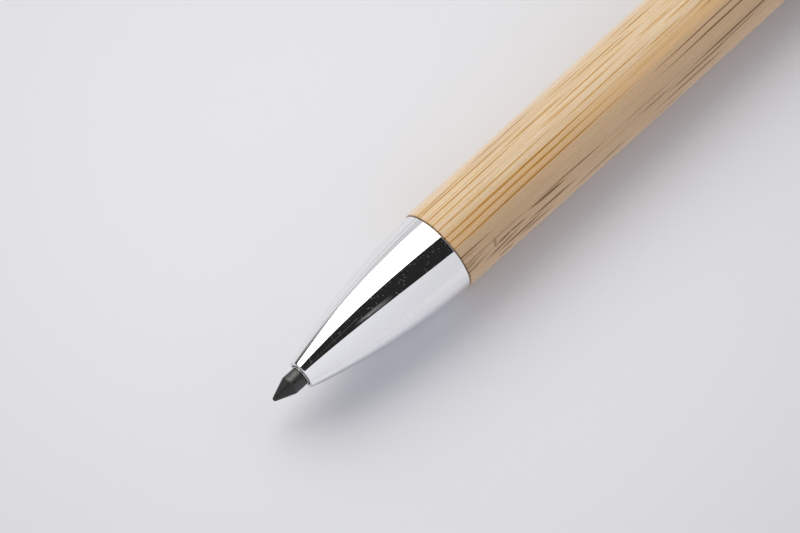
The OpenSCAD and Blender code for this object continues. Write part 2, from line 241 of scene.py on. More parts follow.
def handling_marks():
    """Short hairlines on a polished piece and specks of dust, in crowds."""
    tree, given, made = group("handling_marks", [("Vector", "NodeSocketVector")], ["Marks"])
    crowd = ramp(tree, noise(tree, given["Vector"], CROWD_SCALE), *CROWD_EDGE)
    marks = 0.0
    for slant, along, across, rare, width, strength in MARKS:
        inputs = {"Vector": given["Vector"], "Angle": math.radians(slant)}
        slanted = add(tree, "ShaderNodeVectorRotate", inputs, rotation_type="Z_AXIS").outputs["Vector"]
        inputs = {"Vector": stretched(tree, slanted, along, across), "Scale": 1.0}
        cell = add(tree, "ShaderNodeTexVoronoi", inputs)
        chosen = add(tree, "ShaderNodeSeparateColor", {"Color": cell.outputs["Color"]}).outputs["Red"]
        size = calc(tree, "MULTIPLY", ramp(tree, chosen, rare, 1.0), width)
        edge = calc(tree, "ADD", size, MARK_LEAST)
        core = calc(tree, "MULTIPLY", size, MARK_CORE)
        mark = ramp(tree, cell.outputs["Distance"], edge, core, 0.0, strength)
        marks = calc(tree, "MAXIMUM", mark, marks)
    tree.links.new(calc(tree, "MULTIPLY", marks, crowd), made["Marks"])
    return tree


LATHE_DETAIL = 3.0
TARNISH_SCALE = 0.45
TARNISH_DETAIL = 3.0


def lathe_marks():
    """Fine rings that a cutting tool leaves, with slow changes of tone."""
    tree, given, made = group("lathe_marks", [("Vector", "NodeSocketVector"), ("Pitch", "NodeSocketFloat")],
                              ["Rings", "Tone"])
    turns = calc(tree, "DIVIDE", parts(tree, given["Vector"])["X"], given["Pitch"])
    inputs = {"W": turns, "Scale": 1.0, "Detail": LATHE_DETAIL}
    rings = add(tree, "ShaderNodeTexNoise", inputs, noise_dimensions="1D").outputs["Fac"]
    tree.links.new(rings, made["Rings"])
    tree.links.new(noise(tree, given["Vector"], TARNISH_SCALE, TARNISH_DETAIL), made["Tone"])
    return tree


SKIN_GRAIN_SCALE = 14.0
SKIN_GLOSS_SCALE = 0.8
SKIN_GLOSS_DETAIL = 3.0


def moulded_skin():
    """Fine spark-eroded texture of a moulded plastic, with slow changes of gloss."""
    tree, given, made = group("moulded_skin", [("Vector", "NodeSocketVector")], ["Grain", "Gloss"])
    tree.links.new(noise(tree, given["Vector"], SKIN_GRAIN_SCALE), made["Grain"])
    tree.links.new(noise(tree, given["Vector"], SKIN_GLOSS_SCALE, SKIN_GLOSS_DETAIL), made["Gloss"])
    return tree


HANDLING = handling_marks()
LATHE = lathe_marks()
MOULDED = moulded_skin()

# Polished chrome
CHROME_COLOUR = (0.93, 0.935, 0.945, 1)
CHROME_ROUGH = 0.02
MARK_COLOUR = (0.9, 0.89, 0.88, 1)
MARK_ROUGH = 0.3
MARK_RELIEF = 0.0002


def mirror_chrome():
    made, tree, shader, local = material("mirror_chrome")
    marks = use(tree, HANDLING, Vector=local)["Marks"]
    surface(tree, shader, {
        "Base Color": blend_colour(tree, marks, CHROME_COLOUR, MARK_COLOUR),
        "Metallic": calc(tree, "SUBTRACT", 1.0, marks),
        "Roughness": calc(tree, "MULTIPLY_ADD", marks, MARK_ROUGH, CHROME_ROUGH),
    })
    bump(tree, shader, marks, MARK_RELIEF)
    return made


# The tip's dark alloy. Its cone, ahead of the shoulder, is duller, and painted darker as painted shade
ALLOY_DARK = (0.043, 0.042, 0.042, 1)
ALLOY_PALE = (0.118, 0.116, 0.115, 1)
ALLOY_METALLIC = 0.9
ALLOY_PITCH = 0.07
ALLOY_GRAIN_SCALE = 6.0
ALLOY_GRAIN_DETAIL = 3.0
ALLOY_GRAIN_HEIGHT = 0.5
ALLOY_PALE_GRAIN = (0.3, 0.75)
ALLOY_ROUGH_GRAIN = (0.2, 0.8)
ALLOY_ROUGH = (0.34, 0.42)
ALLOY_RELIEF = 0.0012
CONE_EDGE = (SHOULDER + 0.1, SHOULDER - 0.15)
CONE_PAINTED_SHADE = 0.2
CONE_ROUGH = 0.07


def graphite_alloy():
    made, tree, shader, local = material("graphite_alloy")
    rings = use(tree, LATHE, Vector=local, Pitch=ALLOY_PITCH)["Rings"]
    grain = noise(tree, local, ALLOY_GRAIN_SCALE, ALLOY_GRAIN_DETAIL)
    cone_part = ramp(tree, parts(tree, local)["X"], *CONE_EDGE)
    # Less of the pale alloy on the cone: painted shade
    pale = calc(tree, "MULTIPLY", ramp(tree, grain, *ALLOY_PALE_GRAIN),
                ramp(tree, cone_part, 0.0, 1.0, 1.0, CONE_PAINTED_SHADE))
    rough = ramp(tree, grain, *ALLOY_ROUGH_GRAIN, *ALLOY_ROUGH)
    surface(tree, shader, {
        "Base Color": blend_colour(tree, pale, ALLOY_DARK, ALLOY_PALE),
        "Metallic": ALLOY_METALLIC,
        "Roughness": calc(tree, "MULTIPLY_ADD", cone_part, CONE_ROUGH, rough),
    })
    bump(tree, shader, calc(tree, "MULTIPLY_ADD", grain, ALLOY_GRAIN_HEIGHT, rings), ALLOY_RELIEF)
    return made


# Turned metals and moulded plastics. The middle of a noise spreads over the whole range of roughness
NOISE_MIDDLE = (0.3, 0.7)
RING_RELIEF = 0.002
SKIN_RELIEF = 0.004


def turned_metal(name, pale, deep, pitch, rough_low, rough_high):
    """A lathe-turned metal with rings and a little tarnish."""
    made, tree, shader, local = material(name)
    marks = use(tree, LATHE, Vector=local, Pitch=pitch)
    surface(tree, shader, {
        "Base Color": blend_colour(tree, marks["Tone"], pale, deep),
        "Metallic": 1.0,
        "Roughness": ramp(tree, marks["Rings"], *NOISE_MIDDLE, rough_low, rough_high),
    })
    bump(tree, shader, marks["Rings"], RING_RELIEF)
    return made


def moulded_plastic(name, pale, deep, rough_low, rough_high):
    """A moulded plastic with a fine grain."""
    made, tree, shader, local = material(name)
    skin = use(tree, MOULDED, Vector=local)
    surface(tree, shader, {
        "Base Color": blend_colour(tree, skin["Gloss"], pale, deep),
        "Roughness": ramp(tree, skin["Gloss"], *NOISE_MIDDLE, rough_low, rough_high),
    })
    bump(tree, shader, skin["Grain"], SKIN_RELIEF)
    return made


# Bamboo: two strips glued side by side. One shows the edges of its fibre bundles as long amber lines, the other is
# smooth, with brown strokes where a bundle comes to the surface
GRAIN_SLOPE = -0.012
SKIN_R = 5.6
GLUE_TURN = math.radians(-11.3)
GLUE_PLACE = 2 * GLUE_TURN * SKIN_R
GLUE_EDGE = (GLUE_PLACE - 0.7, GLUE_PLACE + 0.5)
STRAW = srgb(227, 202, 170)
STRAW_DEEP = srgb(214, 185, 144)
# Paler straw for a painted sheen on the left edge
STRAW_PAINTED_SHEEN = srgb(226, 205, 183)
HONEY = srgb(221, 183, 136)
AMBER = srgb(194, 138, 50)
BROWN = srgb(126, 80, 30)
TAN = srgb(210, 178, 142)
TAN_DEEP = srgb(199, 168, 131)
UMBER = srgb(108, 69, 25)

# Fibre bundles that show on the front of the barrel: where each begins and ends behind the seam, its place round the
# axis from the side that faces the camera and its rise to there, its half width and its strength
AMBER_BUNDLES = [
    (14.3, 22.7, 6.88, -0.25, 0.13, 0.54), (31.8, 37.7, 6.27, -0.09, 0.13, 0.78), (6.1, 21.8, 6.30, -0.24, 0.14, 1.05),
    (-8.0, 11.1, 5.49, 0.08, 0.12, 0.96), (20.4, 28.9, 5.60, -0.19, 0.12, 0.74), (32.4, 39.9, 5.33, -0.12, 0.13, 0.98),
    (-9.0, 20.0, 5.09, -0.07, 0.13, 1.05), (22.9, 36.1, 4.83, -0.15, 0.11, 1.03), (28.4, 37.3, 4.30, -0.12, 0.12, 0.77),
    (-6.0, 14.0, 3.95, 0.25, 0.09, 0.48), (10.9, 25.4, 4.20, -0.16, 0.12, 0.96), (38.7, 45.0, 4.06, -0.03, 0.12, 0.48),
    (-9.0, 18.0, 3.63, 0.08, 0.14, 0.84), (17.7, 35.5, 3.45, 0.04, 0.11, 0.80), (33.3, 41.1, 3.06, -0.07, 0.13, 0.60),
    (-7.0, 13.5, 2.70, 0.13, 0.13, 0.68), (16.9, 23.9, 2.88, -0.06, 0.12, 0.52), (15.6, 33.0, 2.57, 0.09, 0.13, 0.62),
    (2.1, 11.6, 2.14, 0.11, 0.07, 0.28), (37.2, 44.0, 2.16, -0.01, 0.13, 0.47), (-9.0, 23.5, 1.68, 0.21, 0.13, 0.70),
    (17.8, 37.6, 1.55, 0.15, 0.13, 0.66), (32.1, 41.4, 1.24, 0.02, 0.12, 0.53), (40.3, 52.0, 0.42, 0.20, 0.12, 0.72),
    (-9.0, 29.4, 0.50, 0.30, 0.14, 0.96), (2.0, 14.0, 0.72, 0.10, 0.07, 0.55), (-9.0, 28.7, -0.27, 0.32, 0.14, 0.88),
    (6.2, 19.1, -0.74, 0.06, 0.11, 0.32), (-9.0, 32.5, -1.16, 0.34, 0.12, 1.00), (6.0, 20.0, -0.90, 0.10, 0.06, 0.50),
]
BROWN_BUNDLES = [
    (29.6, 58.4, -1.38, 0.26, 0.11, 0.90), (30.7, 60.5, -2.25, 0.36, 0.13, 1.00), (-3.8, 5.6, -2.50, 0.00, 0.13, 0.98),
    (-2.5, 3.1, -2.85, 0.00, 0.12, 0.57), (-5.5, 11.9, -3.60, 0.02, 0.10, 0.57), (24.5, 35.3, -3.67, -0.07, 0.10, 0.37),
    (11.4, 23.7, -3.54, -0.24, 0.15, 0.80), (-2.9, 2.3, -3.48, -0.26, 0.13, 0.63), (-3.0, 3.3, -4.80, 1.01, 0.17, 0.69),
    (9.6, 16.7, -3.80, -0.26, 0.24, 1.05), (-2.4, 2.0, -4.41, 0.72, 0.12, 0.57), (-3.1, 4.0, -5.26, 0.74, 0.18, 0.76),
    (4.2, 5.0, -4.65, 1.20, 0.62, 0.57), (4.3, 7.5, -4.57, 0.26, 0.17, 1.03), (6.1, 9.9, -4.29, -0.17, 0.17, 0.92),
    (27.9, 34.1, -4.42, 0.02, 0.17, 0.57), (34.7, 57.9, -4.30, 0.24, 0.18, 1.03), (1.7, 9.0, -5.45, 0.62, 0.20, 0.83),
    (31.7, 44.0, -4.82, -0.12, 0.18, 0.92), (8.8, 18.3, -5.12, -0.16, 0.20, 1.05), (3.4, 12.9, -5.82, 0.24, 0.24, 1.05),
    (29.8, 44.0, -5.73, -0.13, 0.20, 0.92), (15.6, 27.4, -6.53, 0.37, 0.20, 0.83), (7.3, 14.1, -6.32, 0.07, 0.20, 0.98),
    (4.0, 7.4, -6.81, 0.07, 0.25, 0.98), (27.7, 37.2, -7.00, 0.07, 0.20, 0.69),
]
BUNDLE_TAPER = 0.4
BUNDLE_LEAST = 0.005
BUNDLE_EDGE = (1.2, 0.2)

# Where the front with these bundles gives way to other lines, round the axis and behind the seam, and how faint the
# fine ones among those are on it
FRONT_HALF = (7.2, 8.2)
FRONT_LEN = (38.0, 44.0)
FRONT_FAINT = 0.4

# Other lines of each kind: spacing, start of the count, half width, length of a dash and share that is kept
AMBER_LINES = (1.0212, 55079.613, 0.17, 16.0, 0.74)
DARK_EDGES = (1.0212, 55079.613, 0.06, 15.0, 0.8)
AMBER_THREADS = (0.71, 31.4, 0.085, 15.0, 0.62)
AMBER_HAIRS = (0.3, 7.7, 0.055, 10.0, 0.6)
BROWN_STROKES = (0.7, 12.6, 0.1, 13.0, 0.55)
LINE_JITTER = 0.7
LINE_SHUFFLE = 90.0
LINE_SWELL = (0.74, 0.96)
LINE_KEPT = 0.5
LINE_WIDTHS = (0.7, 1.2)
LINE_CORE = 0.25
LINE_LEAST = 0.0001

# Noises in the wood: scales along and across the grain, and for some their detail and roughness
SWAY = (0.03, 0.2)
WANDER = (0.3, 1.2)
FIBRE = (0.16, 8.0, 4.0, 0.62)
FLECK = (3.0, 6.0, 3.0, 0.6)
BLUSH = (0.5, 2.6)
CLOUD = (0.04, 0.3)
CHIP_SCALE = 2.6

# What lines and noises do in the wood: from what range to what range, or how much
SWAY_REACH = 0.3
WANDER_REACH = 0.1
BROKEN_FIBRE = (0.35, 0.65, 1.08, 0.8)
EDGE_OFFSET = 0.08
EDGE_SHARE = (0.1, 0.7, 0.35, 0.9)
STRAW_FIBRE = (0.3, 0.75)
TAN_FIBRE = (0.25, 0.85)
HONEY_PLACE = -0.25
HONEY_EDGE = (1.9, 0.3)
PAINTED_SHEEN_LEFT = (5.6, 7.8)
PAINTED_SHEEN_RIGHT = (12.0, 9.0)
HAIR_SHARE = (0.2, 0.25)
THREAD_SHARE = (0.4, 0.3)
LINE_SHARE = 0.9
STROKE_SHARE = 0.8
AMBER_TINT = (0.0, 0.7)
AMBER_CORE = (0.6, 1.05, 0.0, 0.6)
BROWN_SHARE = 0.95
FLECK_SHARE = 0.6
CLOUD_SHARE = 0.4
SHADE = (0.9, 1.04)
WARMTH = (0.91, 1.05)
CHIP_EDGE = (0.56, 0.64)
CHIP_SHARE = (0.6, 0.1)
SEAM_EDGE = (0.12, 0.03)
WOOD_ROUGH = (0.3, 0.8, 0.42, 0.58)
WOOD_SPECULAR = 0.4
WOOD_SHEEN = 0.18
WOOD_SHEEN_ROUGH = 0.4
WOOD_RELIEF = 0.01
LINE_DEPTH = 0.6


def grain_lines(tree, across, behind, spacing, start, half_width, dash, kept):
    """Lines along the grain that swell and run out, and a number of each line's own."""
    row = calc(tree, "MULTIPLY_ADD", across, 1 / spacing, start)
    inputs = {"W": row, "Scale": 1.0, "Randomness": LINE_JITTER}
    cell = add(tree, "ShaderNodeTexVoronoi", inputs, voronoi_dimensions="1D")
    own = add(tree, "ShaderNodeSeparateColor", {"Color": cell.outputs["Color"]}).outputs
    place = {"X": calc(tree, "DIVIDE", behind, dash),
             "Y": calc(tree, "MULTIPLY_ADD", own["Red"], LINE_SHUFFLE, spacing)}
    inputs = {"Vector": add(tree, "ShaderNodeCombineXYZ", place).outputs["Vector"], "Scale": 1.0, "Detail": 1.0}
    swell = add(tree, "ShaderNodeTexNoise", inputs, noise_dimensions="2D").outputs["Fac"]
    low, high = (level - LINE_KEPT * kept for level in LINE_SWELL)
    width = calc(tree, "MULTIPLY", ramp(tree, swell, low, high, 0.0, half_width),
                 ramp(tree, own["Blue"], 0.0, 1.0, *LINE_WIDTHS))
    away = calc(tree, "MULTIPLY", cell.outputs["Distance"], spacing)
    near = ramp(tree, away, calc(tree, "ADD", width, LINE_LEAST), calc(tree, "MULTIPLY", width, LINE_CORE))
    return near, own["Green"]


def fibre_bundle():
    """One bundle of fibres that comes to the surface and runs out again, over those before it."""
    labels = ["Behind", "Place", "Start", "End", "From", "Rise", "Half Width", "Strength", "Before"]
    tree, given, made = group("fibre_bundle", [(label, "NodeSocketFloat") for label in labels], ["Bundles"])
    inputs = {"Value": given["Behind"], "From Min": given["Start"], "From Max": given["End"]}
    share = add(tree, "ShaderNodeMapRange", inputs).outputs["Result"]
    middle = calc(tree, "MULTIPLY_ADD", share, given["Rise"], given["From"])
    away = distance(tree, given["Place"], middle)
    from_end = calc(tree, "PINGPONG", share, 0.5)
    width = ramp(tree, from_end, 0.0, BUNDLE_TAPER, BUNDLE_LEAST, given["Half Width"])
    near = ramp(tree, calc(tree, "DIVIDE", away, width), *BUNDLE_EDGE, 0.0, given["Strength"])
    tree.links.new(calc(tree, "MAXIMUM", near, given["Before"]), made["Bundles"])
    return tree


BUNDLE = fibre_bundle()


def bundles(tree, rows, behind, place):
    """Mask of all the bundles in a list."""
    marked = 0.0
    for start, end, at, rise, half_width, strength in rows:
        inputs = {"Behind": behind, "Place": place, "Start": start, "End": end, "From": at, "Rise": rise,
                  "Half Width": half_width, "Strength": strength, "Before": marked}
        marked = add(tree, "ShaderNodeGroup", inputs, node_tree=BUNDLE).outputs["Bundles"]
    return marked


def bamboo():
    made, tree, shader, local = material("bamboo")
    place = parts(tree, local)
    behind = calc(tree, "SUBTRACT", place["X"], BARREL_FRONT)
    # The cut of the turn lies on the rear glue line, so that it shows as one
    cos, sin = math.cos(GLUE_TURN), math.sin(GLUE_TURN)
    side = calc(tree, "MULTIPLY_ADD", place["Z"], sin, calc(tree, "MULTIPLY", place["Y"], cos))
    front = calc(tree, "MULTIPLY_ADD", place["Y"], -sin, calc(tree, "MULTIPLY", place["Z"], cos))
    arc_length = calc(tree, "MULTIPLY", calc(tree, "ARCTAN2", side, front), SKIN_R)
    sway = calc(tree, "SUBTRACT", grain_noise(tree, local, *SWAY), 0.5)
    straight = calc(tree, "MULTIPLY_ADD", behind, GRAIN_SLOPE, arc_length)
    across = calc(tree, "MULTIPLY_ADD", sway, SWAY_REACH, straight)
    fibre = grain_noise(tree, local, *FIBRE)
    fleck = grain_noise(tree, local, *FLECK)
    blush = grain_noise(tree, local, *BLUSH)
    cloud = grain_noise(tree, local, *CLOUD)

    # Bundles on the front, with a little sway; the other lines keep clear of them
    facing = calc(tree, "SUBTRACT", arc_length, GLUE_TURN * SKIN_R)
    wander = calc(tree, "SUBTRACT", grain_noise(tree, local, *WANDER), 0.5)
    place_round = calc(tree, "MULTIPLY_ADD", wander, WANDER_REACH, facing)
    broken = ramp(tree, fibre, *BROKEN_FIBRE)
    amber_marks = calc(tree, "MULTIPLY", bundles(tree, AMBER_BUNDLES, behind, place_round), broken)
    brown_marks = calc(tree, "MULTIPLY", bundles(tree, BROWN_BUNDLES, behind, place_round), broken)
    turned_away = ramp(tree, calc(tree, "ABSOLUTE", facing), *FRONT_HALF)
    elsewhere = calc(tree, "MAXIMUM", turned_away, ramp(tree, behind, *FRONT_LEN))
    faint = calc(tree, "MULTIPLY_ADD", elsewhere, 1 - FRONT_FAINT, FRONT_FAINT)

    # Strip with amber lines, most of them with a darker edge
    line, kind = grain_lines(tree, across, behind, *AMBER_LINES)
    line = calc(tree, "MULTIPLY", line, elsewhere)
    dark_edge, _ = grain_lines(tree, calc(tree, "ADD", across, EDGE_OFFSET), behind, *DARK_EDGES)
    dark_edge = calc(tree, "MULTIPLY", dark_edge, ramp(tree, kind, *EDGE_SHARE))
    dark_edge = calc(tree, "MULTIPLY", dark_edge, elsewhere)
    thread, _ = grain_lines(tree, across, behind, *AMBER_THREADS)
    thread = calc(tree, "MULTIPLY", thread, calc(tree, "MULTIPLY_ADD", faint, *THREAD_SHARE))
    hair, _ = grain_lines(tree, across, behind, *AMBER_HAIRS)
    hair = calc(tree, "MULTIPLY", hair, calc(tree, "MULTIPLY_ADD", faint, *HAIR_SHARE))
    straw = blend_colour(tree, ramp(tree, fibre, *STRAW_FIBRE), STRAW, STRAW_DEEP)
    straw = blend_colour(tree, ramp(tree, distance(tree, facing, HONEY_PLACE), *HONEY_EDGE), straw, HONEY)
    # Painted sheen: paler, whiter straw towards the left edge of the barrel, where the light grazes it
    painted_sheen = calc(tree, "MULTIPLY", ramp(tree, facing, *PAINTED_SHEEN_LEFT), ramp(tree, facing, *PAINTED_SHEEN_RIGHT))
    edge_grain = blend_colour(tree, painted_sheen, straw, STRAW_PAINTED_SHEEN)
    edge_grain = blend_colour(tree, hair, edge_grain, AMBER)
    edge_grain = blend_colour(tree, thread, edge_grain, AMBER)
    edge_grain = blend_colour(tree, calc(tree, "MULTIPLY", line, LINE_SHARE), edge_grain, AMBER)
    edge_grain = blend_colour(tree, dark_edge, edge_grain, BROWN)

    # Smooth strip, with brown strokes
    tan = blend_colour(tree, ramp(tree, fibre, *TAN_FIBRE), TAN, TAN_DEEP)
    stroke, _ = grain_lines(tree, across, behind, *BROWN_STROKES)
    stroke = calc(tree, "MULTIPLY", calc(tree, "MULTIPLY", stroke, elsewhere), STROKE_SHARE)
    flat_grain = blend_colour(tree, stroke, tan, UMBER)

    # Both strips, with the bundles, changes of tone, and chips at the seam
    wood = blend_colour(tree, ramp(tree, straight, *GLUE_EDGE), flat_grain, edge_grain)
    wood = blend_colour(tree, ramp(tree, amber_marks, *AMBER_TINT), wood, AMBER)
    wood = blend_colour(tree, ramp(tree, amber_marks, *AMBER_CORE), wood, BROWN)
    wood = blend_colour(tree, calc(tree, "MULTIPLY", brown_marks, BROWN_SHARE, clamp=True), wood, UMBER)
    speckle = calc(tree, "MULTIPLY_ADD", fleck, FLECK_SHARE, calc(tree, "MULTIPLY", cloud, CLOUD_SHARE))
    shade = ramp(tree, speckle, *NOISE_MIDDLE, *SHADE)
    warm = calc(tree, "MULTIPLY", shade, ramp(tree, blush, *NOISE_MIDDLE, *WARMTH))
    tone = add(tree, "ShaderNodeCombineColor", {"Red": shade, "Green": shade, "Blue": warm}).outputs["Color"]
    wood = shaded(tree, wood, tone)
    chips = calc(tree, "MULTIPLY_ADD", ramp(tree, noise(tree, local, CHIP_SCALE), *CHIP_EDGE), *CHIP_SHARE)
    wood = blend_colour(tree, calc(tree, "MULTIPLY", ramp(tree, behind, *SEAM_EDGE), chips), wood, UMBER)
    surface(tree, shader, {
        "Base Color": wood,
        "Roughness": ramp(tree, fibre, *WOOD_ROUGH),
        "Specular IOR Level": WOOD_SPECULAR,
        "Sheen Weight": WOOD_SHEEN,
        "Sheen Roughness": WOOD_SHEEN_ROUGH,
    })
    bump(tree, shader, calc(tree, "SUBTRACT", fibre, calc(tree, "MULTIPLY", line, LINE_DEPTH)), WOOD_RELIEF)
    return made


# The camera sees the table palest beside the nose and greyer away from it: a painted pool of light
TABLE_PALE = (0.815, 0.822, 0.858, 1)
TABLE_PAINTED_DIM = (0.5, 0.502, 0.52, 1)
TABLE_ROUGH = 0.75
TABLE_SPECULAR = 0.2
POOL_CENTRE = Vector((-0.0435, 0.013, 0))
POOL_EDGE = (0.01, 0.16)
MOTTLE_SCALE = 0.05
MOTTLE_DETAIL = 4.0
MOTTLE_REACH = 0.004

# Polished metal shows the table in painted light and shade: pale on the right, greyer on the left and palest far away.
# Close to the pencil it has painted shade underneath and painted light just to the right
TABLE_LEFT = (0.56, 0.56, 0.575, 1)
TABLE_RIGHT = (0.83, 0.835, 0.865, 1)
TABLE_FAR = (0.97, 0.97, 0.99, 1)
SIDE_EDGE = (-0.02, 0.03)
SIDES_FROM = (0.014, 0.085)
FAR_FROM = (0.08, 0.35)
UNDER_SHADE = (0.003, 0.006, 0.76, 1.0)
BESIDE_PLACE = 0.008
BESIDE_LIGHT = (0.009, 0.0, 0.96, 1.17)


def table_top():
    made, tree, shader, local = material("table_top")
    place = add(tree, "ShaderNodeTexCoord").outputs["Object"]
    away = add(tree, "ShaderNodeVectorMath", {0: place, 1: POOL_CENTRE}, operation="DISTANCE").outputs["Value"]
    mottled = calc(tree, "MULTIPLY_ADD", noise(tree, local, MOTTLE_SCALE, MOTTLE_DETAIL), MOTTLE_REACH, away)
    # Painted pool of light: pale beside the nose, greyer away from it
    painted_light_pool = blend_colour(tree, ramp(tree, mottled, *POOL_EDGE), TABLE_PALE, TABLE_PAINTED_DIM)

    across = parts(tree, place)["Y"]
    # Painted light and shade, for rays other than the camera's: paler on the right, greyer on the left
    sides = blend_colour(tree, ramp(tree, across, *SIDE_EDGE), TABLE_RIGHT, TABLE_LEFT)
    mirrored = blend_colour(tree, ramp(tree, away, *SIDES_FROM), TABLE_PALE, sides)
    beside = calc(tree, "SUBTRACT", AXIS.y, across)
    # Painted shade under the pencil and painted light just to its right
    under = ramp(tree, calc(tree, "ABSOLUTE", beside), *UNDER_SHADE)
    painted_light_beside = ramp(tree, distance(tree, beside, BESIDE_PLACE), *BESIDE_LIGHT)
    mirrored = shaded(tree, mirrored, calc(tree, "MULTIPLY", under, painted_light_beside))
    mirrored = blend_colour(tree, ramp(tree, away, *FAR_FROM), mirrored, TABLE_FAR)

    seen = add(tree, "ShaderNodeLightPath").outputs["Is Camera Ray"]
    surface(tree, shader, {
        "Base Color": blend_colour(tree, seen, mirrored, painted_light_pool),
        "Roughness": TABLE_ROUGH,
        "Specular IOR Level": TABLE_SPECULAR,
    })
    return made


# Finishes. A turned metal has two colours, the pitch of its rings and a range of roughness, a plastic has no pitch
CHROME = mirror_chrome()
ALLOY = graphite_alloy()
BAMBOO = bamboo()
NICKEL = turned_metal("nickelled_brass", (0.86, 0.85, 0.82, 1), (0.78, 0.76, 0.72, 1), 0.05, 0.12, 0.25)
BRASS = turned_metal("turned_brass", srgb(214, 178, 106), srgb(186, 142, 74), 0.09, 0.22, 0.4)
STEEL = turned_metal("drawn_steel", srgb(186, 187, 190), srgb(150, 151, 155), 0.12, 0.2, 0.36)
DARK_PLASTIC = moulded_plastic("dark_plastic", srgb(38, 38, 40), srgb(52, 52, 54), 0.4, 0.6)
WHITE_PLASTIC = moulded_plastic("white_plastic", srgb(236, 235, 230), srgb(222, 220, 212), 0.35, 0.5)

# Shapes
ROUND_STEPS = 5
FLAT_BESIDE = 1.25


def arc(centre, radius, start, end, steps):
    """Points of an arc in the outline's plane; 0 degrees points to the button and 90 outwards."""
    turns = [math.radians(start + (end - start) * i / steps) for i in range(steps + 1)]
    return [(centre[0] + radius * math.cos(turn), centre[1] + radius * math.sin(turn)) for turn in turns]


def rounded(corners, steps=ROUND_STEPS):
    """Outline of the corners, each a place and a radius and, where it isn't sharp, the rounding of that corner. A point
    on each side of a rounding keeps the smooth shading of the flats beside it flat."""
    outline = []
    for i, corner in enumerate(corners):
        here = Vector(corner[:2])
        if len(corner) == 2:
            outline.append(tuple(here))
            continue
        back = (Vector(corners[i - 1][:2]) - here).normalized()
        ahead = (Vector(corners[(i + 1) % len(corners)][:2]) - here).normalized()
        half = back.angle(ahead) / 2
        cut = corner[2] / math.tan(half)
        middle = here + (back + ahead).normalized() * (corner[2] / math.sin(half))
        first, last = here + back * cut - middle, here + ahead * cut - middle
        outline.append(tuple(here + back * cut * FLAT_BESIDE))
        outline += [tuple(middle + first.slerp(last, step / steps) * corner[2]) for step in range(steps + 1)]
        outline.append(tuple(here + ahead * cut * FLAT_BESIDE))
    return outline


def turned(outline, closed=True, mesh=None):
    """Mesh turned about the pencil's axis from an outline of places and radii, alone or added to a mesh."""
    mesh = mesh or bmesh.new()
    corners = [mesh.verts.new((RIM.x + place * MM, AXIS.y, AXIS.z + radius * MM)) for place, radius in outline]
    following = corners[1:] + corners[:1] if closed else corners[1:]
    sides = [mesh.edges.new(pair) for pair in zip(corners, following)]
    bmesh.ops.spin(mesh, geom=corners + sides, cent=AXIS, axis=ALONG, angle=math.tau, steps=SPIN_STEPS, use_merge=True)
    return mesh


def finished(name, mesh, finish):
    """Object of a mesh, with its seams closed and its faces outwards."""
    bmesh.ops.remove_doubles(mesh, verts=mesh.verts, dist=MERGE)
    bmesh.ops.recalc_face_normals(mesh, faces=mesh.faces)
    data = bpy.data.meshes.new(name)
    mesh.to_mesh(data)
    mesh.free()
    data.materials.append(finish)
    data.shade_smooth()
    data.set_sharp_from_angle(angle=SHARP)
    made = bpy.data.objects.new(name, data)
    bpy.context.scene.collection.objects.link(made)
    return made


def piece(name, mesh, finish, body, node):
    """A finished piece that rides on a body in the place of a node."""
    made = finished(name, mesh, finish)
    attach(made, body)
    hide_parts(node)


# Nose cone: an arc from the rim to the seam, with the hole, the spring's bore and the spigot
NOSE_LEN = 22.0
NOSE_R = 5.37
NOSE_SLOPE = math.radians(1.8)
NOSE_STEPS = 72
RIM_R = 1.85
RIM_ROUND = 0.2
SEAM_ROUND = 0.06
HOLE_R = 1.45
HOLE_LEN = 3.2
HOLE_ROUND = 0.06
SPRING_BORE_R = 2.35
SPIGOT_R = 3.1
SPIGOT_END = NOSE_LEN + 9.0
SPIGOT_ROUND = 0.3


def nose_side():
    """Points of the nose cone's side, rim to seam."""
    drop = NOSE_R - RIM_R
    radius = (drop ** 2 + NOSE_LEN ** 2) / 2 / (drop * math.cos(NOSE_SLOPE) - NOSE_LEN * math.sin(NOSE_SLOPE))
    centre = (NOSE_LEN + radius * math.sin(NOSE_SLOPE), NOSE_R - radius * math.cos(NOSE_SLOPE))
    start = math.degrees(math.atan2(RIM_R - centre[1], -centre[0]))
    end = math.degrees(math.atan2(NOSE_R - centre[1], NOSE_LEN - centre[0]))
    return arc(centre, radius, start, end, NOSE_STEPS)


def polished_nose():
    side = nose_side()
    corners = [(*side[0], RIM_ROUND), *side[1:-1], (*side[-1], SEAM_ROUND), (NOSE_LEN, SPIGOT_R),
               (SPIGOT_END, SPIGOT_R, SPIGOT_ROUND), (SPIGOT_END, SPRING_BORE_R), (HOLE_LEN, SPRING_BORE_R),
               (HOLE_LEN, HOLE_R), (0, HOLE_R, HOLE_ROUND)]
    piece("polished_nose", turned(rounded(corners)), CHROME, "body", "nose_cone")


# Barrel: two long tapers on a straight belly, with eased ends
BORE_R = 4.23
FRONT_R = 5.5
BELLY_R = 5.7
REAR_R = 5.4
BELLY_FRONT = BARREL_FRONT + 30.0
BELLY_REAR = BELLY_FRONT + 24.0
BELLY_ROUND = 400.0
EASED = 0.14
BARREL_ROUND_STEPS = 8


def bamboo_barrel():
    corners = [(BARREL_FRONT, BORE_R), (BARREL_FRONT, FRONT_R, EASED), (BELLY_FRONT, BELLY_R, BELLY_ROUND),
               (BELLY_REAR, BELLY_R, BELLY_ROUND), (BARREL_REAR, REAR_R, EASED), (BARREL_REAR, BORE_R)]
    outline = rounded(corners, BARREL_ROUND_STEPS)
    piece("bamboo_barrel", turned(outline), BAMBOO, "body", "barrel")


